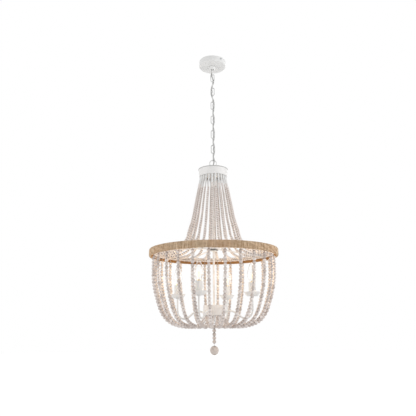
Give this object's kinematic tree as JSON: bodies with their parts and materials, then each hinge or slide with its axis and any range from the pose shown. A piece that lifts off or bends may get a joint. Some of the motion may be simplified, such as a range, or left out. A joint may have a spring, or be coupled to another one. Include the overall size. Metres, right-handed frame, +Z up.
{
  "type": "chandelier",
  "caption": "Beaded chandelier: a rope-wrapped ring and a bowl of wooden bead strands round candle lights, hung by a chain with a laced cord from a round ceiling canopy.",
  "frame": {"origin": "middle of the flat face of the mounting bar that meets the ceiling", "axes": "+Z up into the ceiling, the light hangs along -Z, -Y is the front"},
  "size_m": [0.508, 0.508, 1.2358],
  "materials": {
    "white_paint": "satin white paint",
    "zinc_steel": "zinc plated",
    "grey_cord": "silver grey cord jacket",
    "washed_wood": "whitewashed, a little rough",
    "jute_rope": "natural jute rope",
    "dark_steel": "dark, matt",
    "black_plastic": "black moulded",
    "clear_glass": "clear blown glass",
    "lamp_plastic": "white moulded lamp holder",
    "candle_white": "white candle cover"
  },
  "bodies": {
    "ceiling": {"mounting_crossbar": "zinc_steel", "canopy": "white_paint", "canopy_screw_1": "zinc_steel", "canopy_screw_2": "zinc_steel", "canopy_loop": "white_paint", "cord_bushing": "black_plastic", "loop_lock_nut": "zinc_steel", "power_cord": "grey_cord"},
    "link_01": {"chain_link_01": "white_paint"},
    "link_02": {"chain_link_02": "white_paint"},
    "link_03": {"chain_link_03": "white_paint"},
    "link_04": {"chain_link_04": "white_paint"},
    "link_05": {"chain_link_05": "white_paint"},
    "link_06": {"chain_link_06": "white_paint"},
    "link_07": {"chain_link_07": "white_paint"},
    "link_08": {"chain_link_08": "white_paint"},
    "link_09": {"chain_link_09": "white_paint"},
    "link_10": {"chain_link_10": "white_paint"},
    "link_11": {"chain_link_11": "white_paint"},
    "link_12": {"chain_link_12": "white_paint"},
    "fixture": {"body_loop": "white_paint", "collar": "white_paint", "strand_plate": "zinc_steel", "rod_coupling": "white_paint", "centre_rod": "white_paint", "ring_hoop": "white_paint", "rope_wrap": "jute_rope", "ring_spider": "white_paint", "spider_washer": "dark_steel", "upper_strands_1": "washed_wood", "upper_strands_2": "washed_wood", "lower_strands_1": "washed_wood", "lower_strands_2": "washed_wood", "lower_strands_3": "washed_wood", "lower_strands_4": "washed_wood", "arm_hub": "white_paint", "hub_cover": "white_paint", "arm_1": "white_paint", "arm_2": "white_paint", "arm_3": "white_paint", "arm_4": "white_paint", "drip_pan_1": "white_paint", "drip_pan_2": "white_paint", "drip_pan_3": "white_paint", "drip_pan_4": "white_paint", "candle_sleeve_1": "candle_white", "candle_sleeve_2": "candle_white", "candle_sleeve_3": "candle_white", "candle_sleeve_4": "candle_white", "lamp_socket_1": "lamp_plastic", "lamp_socket_2": "lamp_plastic", "lamp_socket_3": "lamp_plastic", "lamp_socket_4": "lamp_plastic", "bottom_eye": "white_paint"},
    "lamp_1": {"bulb_1": "clear_glass"},
    "lamp_2": {"bulb_2": "clear_glass"},
    "lamp_3": {"bulb_3": "clear_glass"},
    "lamp_4": {"bulb_4": "clear_glass"},
    "drop": {"drop_strand": "washed_wood", "drop_ball": "washed_wood"}
  },
  "joints": [
    {"name": "link_01_swing", "type": "hinge", "parent": "ceiling", "child": "link_01", "pos_m": [0, 0, -0.0669], "axis": [0, 1, 0], "range_deg": [-12, 12], "deforming": ["power_cord"]},
    {"name": "link_02_swing", "type": "hinge", "parent": "link_01", "child": "link_02", "pos_m": [0, 0, -0.10115], "axis": [1, 0, 0], "range_deg": [-12, 12], "deforming": ["power_cord"]},
    {"name": "link_03_swing", "type": "hinge", "parent": "link_02", "child": "link_03", "pos_m": [0, 0, -0.13555], "axis": [0, 1, 0], "range_deg": [-12, 12], "deforming": ["power_cord"]},
    {"name": "link_04_swing", "type": "hinge", "parent": "link_03", "child": "link_04", "pos_m": [0, 0, -0.16995], "axis": [1, 0, 0], "range_deg": [-12, 12], "deforming": ["power_cord"]},
    {"name": "link_05_swing", "type": "hinge", "parent": "link_04", "child": "link_05", "pos_m": [0, 0, -0.20435], "axis": [0, 1, 0], "range_deg": [-12, 12], "deforming": ["power_cord"]},
    {"name": "link_06_swing", "type": "hinge", "parent": "link_05", "child": "link_06", "pos_m": [0, 0, -0.23875], "axis": [1, 0, 0], "range_deg": [-12, 12], "deforming": ["power_cord"]},
    {"name": "link_07_swing", "type": "hinge", "parent": "link_06", "child": "link_07", "pos_m": [0, 0, -0.27315], "axis": [0, 1, 0], "range_deg": [-12, 12], "deforming": ["power_cord"]},
    {"name": "link_08_swing", "type": "hinge", "parent": "link_07", "child": "link_08", "pos_m": [0, 0, -0.30755], "axis": [1, 0, 0], "range_deg": [-12, 12], "deforming": ["power_cord"]},
    {"name": "link_09_swing", "type": "hinge", "parent": "link_08", "child": "link_09", "pos_m": [0, 0, -0.34195], "axis": [0, 1, 0], "range_deg": [-12, 12], "deforming": ["power_cord"]},
    {"name": "link_10_swing", "type": "hinge", "parent": "link_09", "child": "link_10", "pos_m": [0, 0, -0.37635], "axis": [1, 0, 0], "range_deg": [-12, 12], "deforming": ["power_cord"]},
    {"name": "link_11_swing", "type": "hinge", "parent": "link_10", "child": "link_11", "pos_m": [0, 0, -0.41075], "axis": [0, 1, 0], "range_deg": [-12, 12], "deforming": ["power_cord"]},
    {"name": "link_12_swing", "type": "hinge", "parent": "link_11", "child": "link_12", "pos_m": [0, 0, -0.44515], "axis": [1, 0, 0], "range_deg": [-12, 12], "deforming": ["power_cord"]},
    {"name": "fixture_swing", "type": "hinge", "parent": "link_12", "child": "fixture", "pos_m": [0, 0, -0.47955], "axis": [0, 1, 0], "range_deg": [-12, 12], "deforming": ["power_cord"]},
    {"name": "bulb_1_out", "type": "slide", "parent": "fixture", "child": "lamp_1", "axis": [0, 0, 1], "range_m": [0, 0.027]},
    {"name": "bulb_2_out", "type": "slide", "parent": "fixture", "child": "lamp_2", "axis": [0, 0, 1], "range_m": [0, 0.027]},
    {"name": "bulb_3_out", "type": "slide", "parent": "fixture", "child": "lamp_3", "axis": [0, 0, 1], "range_m": [0, 0.027]},
    {"name": "bulb_4_out", "type": "slide", "parent": "fixture", "child": "lamp_4", "axis": [0, 0, 1], "range_m": [0, 0.027]},
    {"name": "drop_swing", "type": "hinge", "parent": "fixture", "child": "drop", "pos_m": [0, 0, -1.126], "axis": [1, 0, 0], "range_deg": [-25, 25]}
  ]
}
